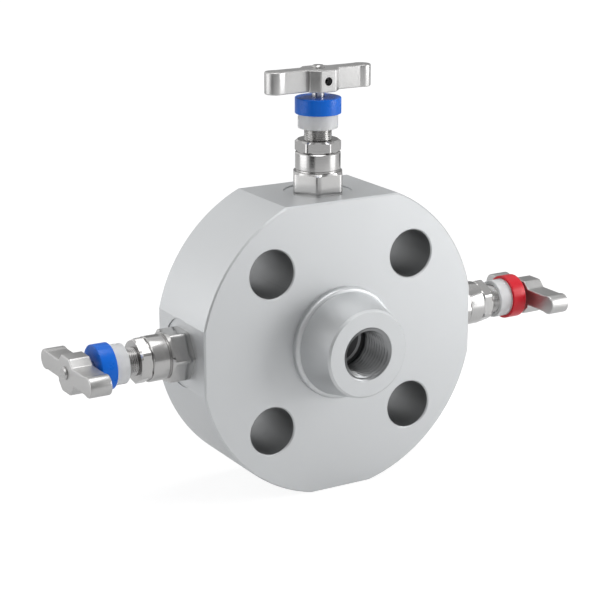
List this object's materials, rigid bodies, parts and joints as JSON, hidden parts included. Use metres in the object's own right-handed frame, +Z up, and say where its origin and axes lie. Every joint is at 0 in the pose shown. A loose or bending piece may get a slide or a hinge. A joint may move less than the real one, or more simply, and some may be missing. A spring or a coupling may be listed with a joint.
{
  "type": "instrument valve manifold",
  "caption": "Flanged double block and bleed instrument manifold: round body with bolt holes and a threaded boss, blue isolating needle valves and a red vent valve, with T-bar handles.",
  "frame": {"origin": "centre of the raised gasket face at the back of the flange", "axes": "+Z up along the top valve stem, +Y out of the raised face towards the process, -Y out of the instrument boss, +X towards the vent valve"},
  "size_m": [0.2196, 0.0612, 0.1664],
  "materials": {
    "satin_stainless": "satin",
    "turned_stainless": "turned, bright",
    "cast_stainless": "cast and tumbled",
    "dark_steel": "blackened",
    "seal_metal": "plain",
    "packing_ptfe": "matt",
    "clear_plastic": "translucent",
    "blue_plastic": "satin",
    "red_plastic": "satin"
  },
  "bodies": {
    "manifold": {"flange_body": "satin_stainless", "top_isolate_bonnet": "turned_stainless", "top_isolate_bonnet_seal": "seal_metal", "top_isolate_packing": "packing_ptfe", "top_isolate_gland_bush": "turned_stainless", "top_isolate_gland_screw": "turned_stainless", "top_isolate_lock_nut": "turned_stainless", "left_isolate_bonnet": "turned_stainless", "left_isolate_bonnet_seal": "seal_metal", "left_isolate_packing": "packing_ptfe", "left_isolate_gland_bush": "turned_stainless", "left_isolate_gland_screw": "turned_stainless", "left_isolate_lock_nut": "turned_stainless", "vent_bonnet": "turned_stainless", "vent_bonnet_seal": "seal_metal", "vent_packing": "packing_ptfe", "vent_gland_bush": "turned_stainless", "vent_gland_screw": "turned_stainless", "vent_lock_nut": "turned_stainless"},
    "top_isolate_needle": {"top_isolate_needle_tip": "turned_stainless"},
    "top_isolate_spindle": {"top_isolate_stem": "turned_stainless", "top_isolate_handle": "cast_stainless", "top_isolate_set_screw": "dark_steel", "top_isolate_dust_cap": "clear_plastic", "top_isolate_colour_ring": "blue_plastic"},
    "left_isolate_needle": {"left_isolate_needle_tip": "turned_stainless"},
    "left_isolate_spindle": {"left_isolate_stem": "turned_stainless", "left_isolate_handle": "cast_stainless", "left_isolate_set_screw": "dark_steel", "left_isolate_dust_cap": "clear_plastic", "left_isolate_colour_ring": "blue_plastic"},
    "vent_needle": {"vent_needle_tip": "turned_stainless"},
    "vent_spindle": {"vent_stem": "turned_stainless", "vent_handle": "cast_stainless", "vent_set_screw": "dark_steel", "vent_dust_cap": "clear_plastic", "vent_colour_ring": "red_plastic"}
  },
  "joints": [
    {"name": "top_isolate_needle_lift", "type": "slide", "parent": "manifold", "child": "top_isolate_needle", "axis": [0, 0, 1], "range_m": [-0.0038, 0]},
    {"name": "top_isolate_handle_turn", "type": "hinge", "parent": "top_isolate_needle", "child": "top_isolate_spindle", "pos_m": [0, -0.0208, 0], "axis": [0, 0, 1], "range_deg": [-1350, 0]},
    {"name": "left_isolate_needle_lift", "type": "slide", "parent": "manifold", "child": "left_isolate_needle", "axis": [-1, 0, 0], "range_m": [-0.0038, 0]},
    {"name": "left_isolate_handle_turn", "type": "hinge", "parent": "left_isolate_needle", "child": "left_isolate_spindle", "pos_m": [0, -0.0208, 0], "axis": [-1, 0, 0], "range_deg": [-1350, 0]},
    {"name": "vent_needle_lift", "type": "slide", "parent": "manifold", "child": "vent_needle", "axis": [1, 0, 0], "range_m": [-0.0038, 0]},
    {"name": "vent_handle_turn", "type": "hinge", "parent": "vent_needle", "child": "vent_spindle", "pos_m": [0, -0.0208, 0], "axis": [1, 0, 0], "range_deg": [-1350, 0]}
  ],
  "couplings": [
    {"joint": "top_isolate_needle_lift", "follows": "top_isolate_handle_turn", "m_per_rad": 0.00015915},
    {"joint": "left_isolate_needle_lift", "follows": "left_isolate_handle_turn", "m_per_rad": 0.00015915},
    {"joint": "vent_needle_lift", "follows": "vent_handle_turn", "m_per_rad": 0.00015915}
  ]
}
